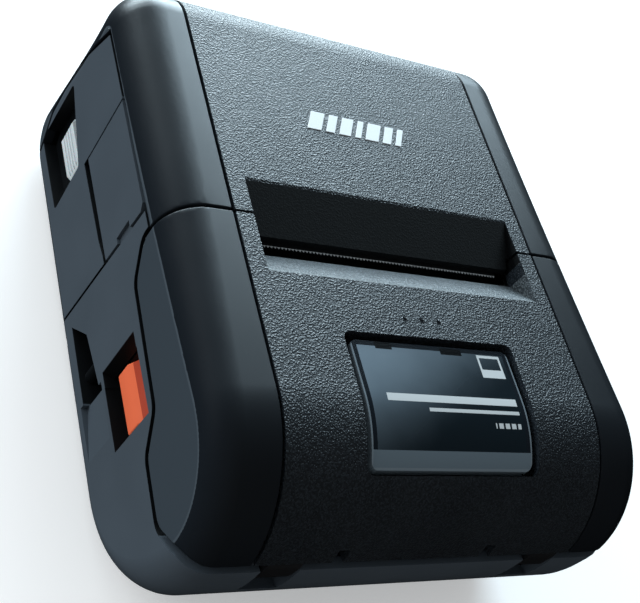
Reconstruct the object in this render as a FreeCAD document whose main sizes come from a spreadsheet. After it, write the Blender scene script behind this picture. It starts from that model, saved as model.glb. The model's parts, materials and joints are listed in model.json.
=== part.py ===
import FreeCAD, Part

import math
import os
from types import SimpleNamespace

import Sketcher

# A rugged pocket printer for paper labels, lying on its back.
# +X is to the right when the front face is read, +Y runs from the hinged end to the button end,
# +Z is the front face's normal. The origin is under the middle of the case, on the feet's soles.

SIZES = {
    # case
    "case_width": 100.0, "case_length": 122.0, "case_depth": 54.0, "foot_drop": 1.0,
    "front_bottom_radius": 24.3, "back_bottom_radius": 28.0,
    "top_front_radius": 11.0, "top_back_radius": 10.0, "rim_radius": 9.0, "back_rim_radius": 3.2,
    "wall": 2.4, "seam": 0.6, "parting_gap": 1.2, "strip_half": 37.0,
    "bumper_line": 46.2, "back_plate_thick": 2.0,
    # paper exit
    "slot_half": 32.9, "slot_top": 8.5, "slot_bottom": -12.9, "lip_edge": -2.2, "lip_depth": 3.8,
    "sill_edge": -5.7, "sill_depth": 5.0, "panel_skin": 1.6,
    # window
    "window_half": 20.3, "window_top": -24.5, "window_low": -51.0, "window_border": 1.4,
    "window_sink": 0.6, "window_thick": 1.4,
    # hinge
    "hinge_length": -57.5, "hinge_height": 30.5, "hinge_barrel": 3.2, "hinge_sweep": 6.9,
    "cover_hem": 34.8, "case_hem": 32.7, "hinge_pin": 1.1, "running_gap": 0.05,
    "lug_inner": 26.8, "lug_outer": 34.0, "ear_width": 2.4,
    # printing mechanism
    "platen_length": -8.0, "platen_height": 42.0, "platen_radius": 5.0, "platen_half": 29.0,
    "axle_radius": 2.0, "bush_radius": 3.4, "gear_module": 0.6, "gear_thick": 3.0,
    "gear_plane": 34.2, "mesh_gap": 0.12,
    "idler_length": -6.2, "idler_height": 29.4, "motor_radius": 9.1, "motor_depth": 15.0,
    "latch_length": 7.0, "latch_height": 48.0, "latch_rod": 1.5,
    # battery
    "battery_half": 34.0, "battery_start": 5.8, "battery_height": 18.2, "battery_gap": 0.5,
    # fasteners
    "screw_radius": 1.15,
    # left side controls
    "lever_low": -30.3, "lever_high": -17.6, "lever_back": 23.2, "lever_front": 32.3,
    "knob_low": 35.5, "knob_high": 48.5, "knob_back": 14.5, "knob_front": 21.3,
    "flap_low": 6.3, "flap_fold": 31.7, "fold_radius": 0.5, "flap_thick": 2.0,
    "flap_back": 27.0, "flap_front": 45.4,
    # buttons
    "button_height": 33.0, "button_radius": 4.4, "button_pitch": 18.0, "button_proud": 0.6,
}

document = FreeCAD.newDocument("PocketPrinter")
sheet = document.addObject("Spreadsheet::Sheet", "Sizes")
for row, (alias, value) in enumerate(SIZES.items(), start=1):
    sheet.set("A%d" % row, alias)
    sheet.set("B%d" % row, str(value))
    sheet.setAlias("B%d" % row, alias)
document.recompute()


class Size:
    """A length that knows its value and the sheet expression it comes from."""

    def __init__(self, value, text=None):
        self.value = float(value)
        self.text = text or "%.6g" % value

    def combine(self, other, sign, result):
        return Size(result, "(%s %s %s)" % (self.text, sign, as_size(other).text))

    def __add__(self, other):
        return self.combine(other, "+", self.value + as_size(other).value)

    def __sub__(self, other):
        return self.combine(other, "-", self.value - as_size(other).value)

    def __mul__(self, other):
        return self.combine(other, "*", self.value * as_size(other).value)

    def __truediv__(self, other):
        return self.combine(other, "/", self.value / as_size(other).value)

    def __radd__(self, other):
        return as_size(other) + self

    def __rsub__(self, other):
        return as_size(other) - self

    def __rmul__(self, other):
        return as_size(other) * self

    def __neg__(self):
        return as_size(0) - self


def as_size(number):
    return number if isinstance(number, Size) else Size(number)


s = SimpleNamespace(**{alias: Size(value, "Sizes." + alias) for alias, value in SIZES.items()})

HALF_WIDTH = s.case_width / 2
HALF_LENGTH = s.case_length / 2
BACK = s.foot_drop
FRONT = s.foot_drop + s.case_depth
FAR = 80.0          # past every face of the case

nodes = {}


# ---------------------------------------------------------------- helpers

def bind(item, **properties):
    for name, size in properties.items():
        item.setExpression(name.replace("__", "."), as_size(size).text)


def place(item, x=0, y=0, z=0):
    bind(item, Placement__Base__x=x, Placement__Base__y=y, Placement__Base__z=z)


def block(name, x, y, z):
    """A box between two limits on each axis."""
    item = document.addObject("Part::Box", name)
    bind(item, Length=x[1] - as_size(x[0]), Width=y[1] - as_size(y[0]), Height=z[1] - as_size(z[0]))
    place(item, x[0], y[0], z[0])
    return item


TURNS = {
    "X": FreeCAD.Rotation(FreeCAD.Vector(0, 1, 0), 90),
    "Y": FreeCAD.Rotation(FreeCAD.Vector(1, 0, 0), -90),
    "Z": FreeCAD.Rotation(),
}


def lay_along(axis, start, across):
    """The point where a turned shape starts, given its place along and across the axis."""
    if axis == "X":
        return start, across[0], across[1]
    if axis == "Y":
        return across[0], start, across[1]
    return across[0], across[1], start


def rod(name, axis, across, span, radius):
    """A cylinder along an axis; across holds its other two coordinates in X, Y, Z order."""
    item = document.addObject("Part::Cylinder", name)
    item.Placement.Rotation = TURNS[axis]
    bind(item, Radius=radius, Height=span[1] - as_size(span[0]))
    place(item, *lay_along(axis, span[0], across))
    return item


def tube(name, axis, across, span, outer, inner):
    bore = (span[0] - as_size(1), span[1] + as_size(1))
    return cut(name, rod(name + "_outer", axis, across, span, outer),
               rod(name + "_bore", axis, across, bore, inner))


def fuse(name, *pieces):
    item = document.addObject("Part::MultiFuse", name)
    item.Shapes = list(pieces)
    item.Refine = True
    return item


def group(name, *pieces):
    """Separate solids that share one node."""
    item = document.addObject("Part::Compound", name)
    item.Links = list(pieces)
    return item


def cut(name, base, *tools):
    item = document.addObject("Part::Cut", name)
    item.Base = base
    item.Tool = tools[0] if len(tools) == 1 else fuse(name + "_tools", *tools)
    return item


def common(name, *pieces):
    item = document.addObject("Part::MultiCommon", name)
    item.Shapes = list(pieces)
    return item


def mirrored(name, source):
    """The same piece on the other side of the case's middle plane."""
    item = document.addObject("Part::Mirroring", name)
    item.Source = source
    item.Normal = FreeCAD.Vector(1, 0, 0)
    item.Base = FreeCAD.Vector(0, 0, 0)
    return item


PLANES = {"X": "YZ_Plane", "Y": "XZ_Plane", "Z": "XY_Plane"}


def prism(name, axis, points, span, rounding=None):
    """A polygon given in the plane across the axis, padded between two limits along it."""
    body = document.addObject("PartDesign::Body", name)
    sketch = body.newObject("Sketcher::SketchObject", name + "_outline")
    plane = [item for item in body.Origin.OriginFeatures if item.Role == PLANES[axis]][0]
    sketch.AttachmentSupport = (plane, [""])
    sketch.MapMode = "FlatFace"
    corners = [(as_size(u), as_size(v)) for u, v in points]
    count = len(corners)
    places = [FreeCAD.Vector(u.value, v.value, 0) for u, v in corners]
    sketch.addGeometry([Part.LineSegment(places[i], places[(i + 1) % count]) for i in range(count)])
    joins = [Sketcher.Constraint("Coincident", i, 2, (i + 1) % count, 1) for i in range(count)]
    sketch.addConstraint(joins)
    for i, (u, v) in enumerate(corners):
        for kind, size in (("DistanceX", u), ("DistanceY", v)):
            index = sketch.addConstraint(Sketcher.Constraint(kind, -1, 1, i, 1, size.value))
            sketch.setExpression("Constraints[%d]" % index, size.text)
    # the XZ plane's normal points to -Y, so a pad along Y starts at its far end
    start = -as_size(span[1]) if axis == "Y" else as_size(span[0])
    bind(sketch, AttachmentOffset__Base__z=start)
    pad = body.newObject("PartDesign::Pad", name + "_pad")
    pad.Profile = sketch
    bind(pad, Length=span[1] - as_size(span[0]))
    document.recompute()
    if rounding is not None:
        along = {"X": 0, "Y": 1, "Z": 2}[axis]
        ridges = [
            "Edge%d" % (i + 1) for i, edge in enumerate(pad.Shape.Edges)
            if abs(edge.tangentAt(edge.FirstParameter)[along]) > 0.99
        ]
        fillet(body, pad, ridges, rounding, name + "_rounding")
    return body


def fillet(body, base, edges, radius, name):
    item = body.newObject("PartDesign::Fillet", name)
    item.Base = (base, edges)
    bind(item, Radius=radius)
    body.Tip = item
    document.recompute()
    return item


def edges_where(item, test):
    return ["Edge%d" % (i + 1) for i, edge in enumerate(item.Shape.Edges) if test(edge)]


def case_form(name, inset, rim=True):
    """The whole case as one rounded solid, shrunk by an inset."""
    body = document.addObject("PartDesign::Body", name)
    core = body.newObject("PartDesign::AdditiveBox", name + "_core")
    bind(core, Length=s.case_width - 2 * inset, Width=s.case_length - 2 * inset,
         Height=s.case_depth - 2 * inset)
    place(core, inset - HALF_WIDTH, inset - HALF_LENGTH, BACK + inset)
    document.recompute()
    corners = [(-1, 1, s.front_bottom_radius), (-1, -1, s.back_bottom_radius),
               (1, 1, s.top_front_radius), (1, -1, s.top_back_radius)]
    last = core
    middle = BACK + s.case_depth / 2
    for number, (end, side, radius) in enumerate(corners):
        y = end * (HALF_LENGTH - inset).value
        z = (middle + side * (s.case_depth / 2 - inset)).value
        picked = edges_where(last, lambda edge: abs(edge.CenterOfMass.y - y) < 1e-3
                             and abs(edge.CenterOfMass.z - z) < 1e-3 and edge.Length > 50)
        last = fillet(body, last, picked, radius - inset, "%s_corner%d" % (name, number))
    return rounded_rim(name, body, inset) if rim else body


def rounded_rim(name, body, inset):
    """Round the edges of both side faces: full at the front, much tighter at the back."""
    x = (HALF_WIDTH - inset).value
    rounds = []
    for number, edge in enumerate(body.Shape.Edges, start=1):
        if abs(abs(edge.CenterOfMass.x) - x) < 1e-3:
            ends = [edge.valueAt(edge.FirstParameter), edge.valueAt(edge.LastParameter)]
            shares = [(end.z - BACK.value) / s.case_depth.value for end in ends]
            spread = (s.rim_radius - s.back_rim_radius).value
            radii = [s.back_rim_radius.value + spread * share - inset.value for share in shares]
            rounds.append((number, radii[0], radii[1]))
    item = document.addObject("Part::Fillet", name + "_rim")
    item.Base = body
    item.Edges = rounds
    document.recompute()
    return item


def keep(label, item):
    """Name a finished sub-part."""
    item.Label = label
    nodes[label] = item
    return item


def both_sides(label, item, left="left", right="right"):
    keep("%s_%s" % (label, left), item)
    keep("%s_%s" % (label, right), mirrored(label + "_mirror", item))


# ---------------------------------------------------------------- case zones

outer = case_form("outer_form", as_size(0))
inner = case_form("inner_form", s.wall)
skin = cut("skin", outer, inner)

SPLIT = s.seam / 2
LOW = -HALF_LENGTH - 5
HIGH = HALF_LENGTH + 5
ABOVE = FRONT + 5


def parting(offset, hem):
    """The line between the cover and the case, seen from the side, moved towards the case.

    hem is its height over the hinge, where the cover's edge has to swing past the case.
    """
    return [
        (offset - SPLIT, ABOVE), (offset - SPLIT, 43.2 - offset / 2),
        (offset / 2 - 6, 37.4 - offset), (offset / 2 - 31.5, 36 - offset),
        (offset / 2 - 38, 29.7 - offset), (-50.4 - offset / 3, 29 - offset),
        (-57 - offset / 3, hem), (LOW - 10, hem + 2.4), (LOW - 10, ABOVE),
    ]


PARTING_ROUND = 4.5
cover_zone = prism("cover_zone", "X", parting(as_size(0), s.cover_hem), (-FAR, FAR), PARTING_ROUND)
case_clear = prism("case_clear", "X", parting(s.parting_gap, s.case_hem), (-FAR, FAR), PARTING_ROUND)
hinge_at = (s.hinge_length, s.hinge_height)


def hinge_spans(inside, outside):
    """The same stretch of the hinge on both sides of the middle plane."""
    return [(-outside, -inside), (as_size(inside), as_size(outside))]


strip = (s.seam / 2 - s.strip_half, s.strip_half - s.seam / 2)
beside_left = (-FAR, -s.strip_half - s.seam / 2)

# upper end: over the strip and the bumpers, the line runs down the button end
TOP_EDGE = HALF_LENGTH - 4.5
upper_zone = prism("upper_zone", "X", [
    (SPLIT, ABOVE), (SPLIT, s.bumper_line), (HALF_LENGTH - 10.6, s.bumper_line),
    (TOP_EDGE, 30), (TOP_EDGE, 19.6), (HIGH, 19.6), (HIGH, ABOVE)], (-FAR, FAR))
bumper_zone = prism("bumper_zone", "X", [
    (SPLIT, ABOVE), (SPLIT, s.bumper_line), (HALF_LENGTH - 10.6, s.bumper_line),
    (TOP_EDGE, 30), (TOP_EDGE, 14), (HALF_LENGTH - 8.2, 3.6), (HIGH, 3.6), (HIGH, ABOVE)], (-FAR, FAR))
port_zone = prism("port_zone", "X", [
    (5.2, s.bumper_line - s.seam), (7.3, 3.8), (HALF_LENGTH - 9, 3.8), (TOP_EDGE - 0.8, 14),
    (TOP_EDGE - 0.8, 30), (HALF_LENGTH - 11.5, s.bumper_line - s.seam)], (-FAR, FAR))

# ---------------------------------------------------------------- cover

cover_skin = common("cover_skin", skin, cover_zone)
slot_clear = prism("slot_clear", "X", [
    (s.slot_bottom - 0.72, FRONT + 0.5), (s.sill_edge, FRONT - s.sill_depth),
    (s.sill_edge, 38), (4, 38), (4, FRONT + 0.5)], (-s.slot_half, s.slot_half))
sill = prism("sill", "X", [
    (s.slot_bottom, FRONT), (s.sill_edge, FRONT - s.sill_depth),
    (s.sill_edge, FRONT - s.sill_depth - s.panel_skin), (s.sill_edge - 1, 48.4),
    (s.slot_bottom - 2.5, FRONT - s.wall - 0.1), (s.slot_bottom - 2.5, FRONT - 1),
    (s.slot_bottom - 1, FRONT)], (-s.slot_half - 2, s.slot_half + 2))
cheek_low = FRONT - s.sill_depth - 0.6
cheek_high = FRONT - s.wall + 0.2
slot_cheeks = [
    prism("slot_cheek", "X", [
        (-SPLIT, cheek_low), (-SPLIT, cheek_high), (s.slot_bottom + 1.9, cheek_high),
        (s.sill_edge - 1, cheek_low)],
        (side * (s.slot_half + 1) - 1, side * (s.slot_half + 1) + 1)) for side in (-1, 1)]
window_hole = prism("window_hole", "Z", [
    (-s.window_half, s.window_low), (s.window_half, s.window_low),
    (s.window_half, s.window_top), (-s.window_half, s.window_top)], (28, FAR), 1.8)
dots = [rod("dot", "Z", (-0.4 + 4.1 * i, -20.2), (FRONT - 1, FRONT + 0.3), 0.5) for i in (-1, 0, 1)]
edge_slits = [block("edge_slit", (x, x + 2.4), (LOW, -57.8), (30, 38.5)) for x in (-21, 13)]
cover_centre = common("cover_centre", cover_skin, block("cover_strip", strip, (LOW, 0), (20, ABOVE)))
cover_solid = fuse("cover_solid", cover_centre, sill, *slot_cheeks)
cover_cut = cut("cover_cut", cover_solid, slot_clear, window_hole, *edge_slits)
keep("cover_panel", fuse("cover_panel", cover_cut, *dots))

bumper_left = common("cover_bumper_left_skin", cover_skin,
                     block("cover_left", beside_left, (LOW, 0), (20, ABOVE)))
both_sides("cover_bumper", bumper_left)


def curved_sheet(name, inset, thickness, half, low, high, rounding):
    """A plate that follows the front face and its lower curve."""
    outside = case_form(name + "_outside", as_size(inset), rim=False)
    inside = case_form(name + "_inside", as_size(inset) + thickness, rim=False)
    shape = prism(name + "_area", "Z", [(-half, low), (half, low), (half, high), (-half, high)],
                  (30, FAR), rounding)
    return common(name, cut(name + "_sheet", outside, inside), shape)


keep("window", curved_sheet("window", s.window_sink, s.window_thick, s.window_half - s.window_border,
                            s.window_low + 1, s.window_top - s.window_border, 1.5))
keep("window_backing", curved_sheet("window_backing", s.wall, 1.2, s.window_half + 2,
                                    s.window_low - 1.8, s.window_top + 2, 2))

ARM = (31.4, 33.4)
arm_outline = [
    (-16, FRONT - s.wall), (-14, 40), (-10.5, 38.2), (-5.5, 38.2), (s.platen_length + 3.9, 40),
    (s.platen_length + 3.9, FRONT - s.sill_depth - s.panel_skin),
    (s.sill_edge - 1, FRONT - s.sill_depth - s.panel_skin), (-15.5, FRONT - s.wall - 0.1)]
arms = [prism("arm", "X", arm_outline, span) for span in ((-ARM[1], -ARM[0]), ARM)]
tie = block("cover_tie", (-ARM[1], ARM[1]), (-22, -15.5), (FRONT - s.wall - 1.5, FRONT - s.wall))


def cover_lug(name, span):
    """A hinge lug that comes down from the cover's end and wraps the pin."""
    barrel = rod(name + "_barrel", "X", hinge_at, span, s.hinge_barrel)
    web = prism(name + "_web", "X", [
        (s.hinge_length - s.hinge_barrel, s.hinge_height),
        (s.hinge_length + s.hinge_barrel, s.hinge_height), (s.hinge_length + 5.2, 40),
        (s.hinge_length + 1.6, 41), (s.hinge_length - 1.2, 39),
        (s.hinge_length - 3.3, 35.2)], span)
    return common(name, fuse(name + "_whole", barrel, web), outer)


lugs = [cover_lug("lug", span) for span in hinge_spans(s.lug_inner, s.lug_outer)]
pin_bore = rod("pin_bore", "X", hinge_at, (-FAR, FAR), s.hinge_pin + s.running_gap)
bush_bore = rod("bush_bore", "X", (s.platen_length, s.platen_height), (-FAR, FAR), s.bush_radius)
rail_sheet = curved_sheet("rail_sheet", s.wall, 1.6, as_size(36.5), s.window_low - 5,
                          s.slot_bottom - 2.6, None)
rail = cut("cover_rail", rail_sheet, block("rail_room", (-30, 30), (s.window_low - 2.2, 0), (20, ABOVE)))
lug_trim = cut("lug_trim", fuse("lug_pair", *lugs), cover_skin)
cover_frame = fuse("cover_frame_solid", *arms, tie, lug_trim, rail)
keep("cover_frame", cut("cover_frame", cover_frame, pin_bore, bush_bore))

# ---------------------------------------------------------------- platen on the cover

platen_at = (s.platen_length, s.platen_height)
keep("platen_shaft", rod("platen_shaft", "X", platen_at, (-40, 40), s.axle_radius))
keep("platen_rubber", tube("platen_rubber", "X", platen_at, (-s.platen_half, s.platen_half),
                           s.platen_radius, s.axle_radius))
bushes = [tube("bush", "X", platen_at, span, s.bush_radius, s.axle_radius + s.running_gap)
          for span in ((-ARM[1], -ARM[0]), ARM)]
keep("platen_bushes", group("platen_bushes", *bushes))


def gear_face(teeth, module, backlash=0.1):
    """A closed involute gear outline in the XY plane, with a tooth on +X."""
    pressure = math.radians(20)
    pitch = teeth * module / 2
    base = pitch * math.cos(pressure)
    tip = pitch + 0.9 * module
    root = pitch - 1.2 * module
    half = math.pi / (2 * teeth) - backlash / (2 * pitch) + math.tan(pressure) - pressure
    flank = []
    for step in range(5):
        radius = max(base, root) + (tip - max(base, root)) * step / 4
        angle = math.acos(min(1.0, base / radius))
        flank.append((radius, half - (math.tan(angle) - angle)))
    side = [(root, flank[0][1])] + flank
    corners = []
    for tooth in range(teeth):
        centre = 2 * math.pi * tooth / teeth
        for radius, turn in [(r, -a) for r, a in side] + [(r, a) for r, a in reversed(side)]:
            corners.append(FreeCAD.Vector(radius * math.cos(centre + turn),
                                          radius * math.sin(centre + turn), 0))
    return Part.Face(Part.makePolygon(corners + corners[:1]))


def gear(name, teeth, start, across, bore, phase, hub=0.0):
    """A spur gear on an axle along X; its size is read from the sheet."""
    disc = gear_face(teeth, sheet.gear_module).extrude(FreeCAD.Vector(0, 0, sheet.gear_thick))
    if hub:
        disc = disc.fuse(Part.makeCylinder(hub, sheet.gear_thick + 1.5))
    hole = Part.makeCylinder(bore, 20, FreeCAD.Vector(0, 0, -5))
    item = document.addObject("Part::Feature", name)
    item.Shape = disc.cut(hole)
    turn = TURNS["X"].multiply(FreeCAD.Rotation(FreeCAD.Vector(0, 0, 1), phase))
    item.Placement = FreeCAD.Placement(FreeCAD.Vector(start, across[0], across[1]), turn)
    return item


def bearing(start, end):
    """The angle about X from one axle to another, in degrees from +Y towards +Z."""
    return math.degrees(math.atan2(end[1] - start[1], end[0] - start[0]))


# local +X of a gear points along -Z once it is laid along X, so a tooth at angle a needs a + 90
PLATEN_TEETH, IDLER_TEETH, PINION_TEETH = 18, 24, 12
platen_axle = (sheet.platen_length, sheet.platen_height)
idler_axle = (sheet.idler_length, sheet.idler_height)
reach = (IDLER_TEETH + PINION_TEETH) * sheet.gear_module / 2 + sheet.mesh_gap
pinion_axle = (idler_axle[0] + reach, idler_axle[1])
down = bearing(platen_axle, idler_axle)
keep("platen_gear", gear("platen_gear", PLATEN_TEETH, sheet.gear_plane, platen_axle,
                         sheet.axle_radius, down + 90))
keep("idler_gear", gear("idler_gear", IDLER_TEETH, sheet.gear_plane, idler_axle, 1.55,
                        down + 180 + 90 + 180.0 / IDLER_TEETH))
idler_turn = down + 180 + 180.0 / IDLER_TEETH
pinion_turn = 180 + 180.0 / PINION_TEETH - idler_turn * IDLER_TEETH / PINION_TEETH
keep("motor_pinion", gear("motor_pinion", PINION_TEETH, sheet.gear_plane, pinion_axle, 1.0,
                          pinion_turn + 90, hub=2.2))

# ---------------------------------------------------------------- upper end

upper_skin = common("upper_skin", skin, upper_zone)
mouth_clear = prism("mouth_clear", "X", [
    (s.slot_top, FRONT), (s.lip_edge, FRONT - s.lip_depth), (s.lip_edge - 3, FRONT - s.lip_depth),
    (s.lip_edge - 3, FRONT + 1), (s.slot_top, FRONT + 1)], (-s.slot_half, s.slot_half))
mouth_floor = prism("mouth_floor", "X", [
    (s.slot_top + 0.5, FRONT - 0.1), (s.lip_edge, FRONT - s.lip_depth + 0.4),
    (s.lip_edge, FRONT - s.lip_depth - s.panel_skin),
    (s.slot_top + 2, FRONT - s.wall - 0.4), (s.slot_top + 2, FRONT - 1)],
    (-s.slot_half - 1.5, s.slot_half + 1.5))
LIP_TRIM_AT, LIP_TRIM_HALF = 40, 8
lip_trim = [block("lip_trim", (side * LIP_TRIM_AT - LIP_TRIM_HALF, side * LIP_TRIM_AT + LIP_TRIM_HALF),
                  (-6, SPLIT), (40, ABOVE)) for side in (-1, 1)]
BUTTONS = [-s.button_pitch, as_size(0), s.button_pitch]
button_holes = [rod("button_hole", "Y", (x, s.button_height), (50, FAR), s.button_radius + 0.25)
                for x in BUTTONS]
PIPES = [-s.button_pitch / 2, s.button_pitch / 2]
pipe_holes = [rod("pipe_hole", "Y", (x, s.button_height + 5.5), (50, FAR), 1.0) for x in PIPES]
panel_strip = common("panel_strip", upper_skin, block("upper_strip", strip, (-1, HIGH), (10, ABOVE)))
panel_cut = cut("panel_cut", fuse("panel_solid", panel_strip, mouth_floor), mouth_clear,
                *lip_trim, *button_holes, *pipe_holes)
keep("upper_panel", panel_cut)
both_sides("upper_bumper", common("upper_bumper_left_skin", skin, bumper_zone,
                                  block("upper_left", beside_left, (-1, HIGH), (2, ABOVE))))


def tear_strip():
    """A thin steel strip with a row of fine teeth along its free edge."""
    half, pitch, depth = 29.6, 0.8, 0.5
    edge = sheet.lip_edge - 0.7
    count = int(2 * half / pitch)
    corners = [FreeCAD.Vector(-half, edge + 3.2, 0), FreeCAD.Vector(-half, edge, 0)]
    for tooth in range(count):
        x = -half + pitch * (tooth + 0.5)
        corners.append(FreeCAD.Vector(x, edge - depth, 0))
        corners.append(FreeCAD.Vector(x + pitch / 2, edge, 0))
    corners.append(FreeCAD.Vector(half, edge + 3.2, 0))
    face = Part.Face(Part.makePolygon(corners + corners[:1]))
    item = document.addObject("Part::Feature", "tear_strip")
    item.Shape = face.extrude(FreeCAD.Vector(0, 0, 0.5))
    height = sheet.foot_drop + sheet.case_depth - sheet.lip_depth - sheet.panel_skin - 0.55
    item.Placement = FreeCAD.Placement(FreeCAD.Vector(0, 0, height), FreeCAD.Rotation())
    return item


keep("tear_bar", tear_strip())

# ---------------------------------------------------------------- upper side panels

port_skin = common("port_skin", skin, port_zone)
port_left = common("port_left_skin", port_skin, block("port_left", beside_left, (0, HIGH), (2, ABOVE)))
knob_floor = 3 - HALF_WIDTH
knob_pocket = prism("knob_pocket", "X", [(33.5, 7.2), (33.9, 22), (53.6, 26.4), (54.4, 6.6)],
                    (-FAR, knob_floor), 1.0)
knob_pan = prism("knob_pan", "X", [(31.8, 5.4), (32.2, 23.6), (55.2, 28.4), (55.8, 4.8)],
                 (1.0 - HALF_WIDTH, knob_floor + 1.2))
knob_slot = block("knob_slot", (knob_floor - 1, knob_floor + 3), (38.6, 45.4), (10.4, 20.4))
flap_edge = s.flap_fold + s.fold_radius + 0.15
flap_hole = block("flap_hole", (-FAR, -44), (4, flap_edge), (s.flap_back - 0.9, FAR))
flap_slot = prism("flap_slot", "X", [
    (4, 26.0), (8, 25.9), (12, 25.3), (flap_edge, 24.8), (flap_edge, s.flap_back), (4, s.flap_back)],
    (-FAR, -44))
port_solid = fuse("port_solid", port_left, common("knob_pan_trim", knob_pan, outer, port_zone))
keep("port_panel_left", cut("port_panel_left", port_solid, knob_pocket, knob_slot, flap_hole, flap_slot))
right_grip = [
    block("grip_rib", (HALF_WIDTH - 0.9, FAR), (20 + 4 * i, 21.6 + 4 * i), (12, 38)) for i in range(6)]
keep("port_panel_right", cut("port_panel_right_cut", mirrored("port_right", port_left), *right_grip))

flap_inside = s.flap_thick - HALF_WIDTH
flap_plate = prism("flap_plate", "X", [
    (s.flap_low, s.flap_back), (s.flap_fold, s.flap_back), (s.flap_fold, s.flap_front),
    (s.flap_low + 0.4, s.flap_front), (s.flap_low - 0.8, s.flap_front - 1.4)], (-HALF_WIDTH, flap_inside))
flap_knuckle = rod("flap_knuckle", "Z", (s.fold_radius - HALF_WIDTH, s.flap_fold),
                   (s.flap_back, s.flap_front), s.fold_radius)
flap_plug = block("flap_plug", (flap_inside, flap_inside + 0.7), (10.5, 28.5), (31, 42))
nail_notch = block("nail_notch", (-HALF_WIDTH - 1, -HALF_WIDTH + 0.7),
                   (s.flap_low - 1, s.flap_low + 1), (33, 39))
flap_whole = fuse("flap_whole", flap_plate, flap_knuckle, flap_plug)
keep("port_flap", cut("port_flap", flap_whole, nail_notch))


knob_cap = prism("knob_cap", "Z", [
    (knob_floor - 0.1, s.knob_low), (-48.6, s.knob_low + 0.4), (-49.4, s.knob_low + 1.6),
    (-49.4, s.knob_high - 1.6), (-48.6, s.knob_high - 0.4), (knob_floor - 0.1, s.knob_high)],
    (s.knob_back, s.knob_front))
knob_grooves = [
    block("knob_groove", (-52, -48.9), (30, 55),
          (s.knob_back + 1.1 + 1.25 * i, s.knob_back + 1.65 + 1.25 * i))
    for i in range(4)]
knob_stem = block("knob_stem", (knob_floor - 0.2, -43.2), (39, 45), (s.knob_back + 1, s.knob_front - 1.4))
knob_shield = block("knob_shield", (knob_floor + 1.3, knob_floor + 2.1), (37.4, 46.6), (9.8, 25))
keep("lock_knob", fuse("lock_knob", cut("knob_ridged", knob_cap, *knob_grooves), knob_stem, knob_shield))

# ---------------------------------------------------------------- middle case

case_skin = common("case_skin", skin, block("case_band", (-FAR, FAR), (LOW, HIGH), (3.4, ABOVE)))
low_case = cut("low_case", case_skin, case_clear,
               block("bumper_void", (-FAR, FAR), (-1, HIGH), (s.bumper_line - s.seam, ABOVE)))
shoulder = cut("shoulder", low_case, prism("shoulder_clear", "X", [
    (4.5, ABOVE), (4.5, s.bumper_line - s.seam), (6.7, 3.3), (HIGH, 3.3), (HIGH, ABOVE)],
    (-FAR, FAR)))
CASE_SCREWS = [(-41, -30), (41, -30)]
BAY_SCREWS = [(-39.6, 52), (39.6, 52), (-39.6, 8), (39.6, 8)]
SCREW_PLACES = CASE_SCREWS + BAY_SCREWS
bay_half = s.battery_half + s.battery_gap
roof = block("bay_roof", (-47.7, 47.7), (4.6, 58.6), (18.7, 20.2))
bay_walls = [block("bay_wall", (side * (bay_half + 0.75) - 0.75, side * (bay_half + 0.75) + 0.75),
                   (4.6, 58.6), (3.4, 19)) for side in (-1, 1)]
bay_end = block("bay_end", (-36, 36), (s.battery_start - 2, s.battery_start - s.battery_gap), (3.4, 20.2))
tub_at = (-34.6, 28.6)
tub_ring = tube("tub_ring", "X", tub_at, (-32, 32), 23.0, 21.6)
tub_ends = [rod("tub_end", "X", tub_at, span, 22.3) for span in ((-32, -30.8), (30.8, 32))]
tub = cut("tub", fuse("tub_whole", tub_ring, *tub_ends),
          block("tub_top", (-FAR, FAR), (-FAR, FAR), (33, FAR)))
tub_feet = [block("tub_foot", (x - 1, x + 1), (-34, -28), (3.3, 6.4)) for x in (-24, 24)]
deck_room = block("deck_room", (-FAR, FAR), (-12.5, 0), (18.7, FAR))
hinge_room = block("hinge_room", (-FAR, FAR), (LOW, -45), (19.8, FAR))
tub_cut = cut("tub_cut", fuse("tub_pieces", tub, *tub_feet), deck_room, hinge_room)
keep("roll_tub", common("roll_tub", tub_cut, inner))
deck = block("deck", (-47.7, 47.7), (-12.5, 6), (18.7, 20.2))
lever_pan = block("lever_pan", (-48.2, -43.2), (-32.2, -15.2), (16, 33.8))
lever_floor = block("lever_floor_clear", (-FAR, -44.6), (-30.8, -17.1), (17.5, 33.2))
lever_slope = prism("lever_slope", "Z", [(-50.2, -13.6), (-50.2, -18), (-45.5, -18), (-45.5, -16.2)],
                    (17.6, 33))
strap_pan = prism("strap_pan", "X", [(4.4, 5), (-0.5, 15), (-16.6, 16.8), (-16.6, 5)], (-48.2, -42.4))
strap_floor = prism("strap_floor", "X", [(3.2, 7), (-2.5, 13.4), (-15.2, 15.2), (-15, 6.8)], (-FAR, -43.6))
ramp = prism("ramp", "Z", [(-50.3, -29.6), (-48.6, -15), (-50.3, -15)], (5.6, 16.4))
strap_bar = rod("strap_bar", "Z", (-47.2, -8.6), (5.6, 15.6), 1.5)
left_extras = [common("lever_pan_trim", lever_pan, outer), common("strap_pan_trim", strap_pan, outer)]
slit_low = block("stem_slot", (-45.2, -42), (-28.4, -19.4), (19, 33.3))
case_solid = fuse("case_solid", shoulder, *left_extras)
case_holed = cut("case_holed", case_solid, lever_floor, strap_floor, ramp, lever_slope, slit_low)
knob_room = block("knob_room", (-FAR, -42.6), (31, 56.5), (18, 22))


def ribbed_bosses(places, wall):
    """Screw bosses, each held to a wall by a rib that runs along X."""
    pieces = [rod("boss", "Z", at, (3.4, 10), 3.0) for at in places]
    for x, y in places:
        low, high = sorted((x, math.copysign(wall, x)))
        pieces.append(block("boss_rib", (low, high), (y - 1, y + 1), (3.4, 10)))
    return pieces


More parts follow.
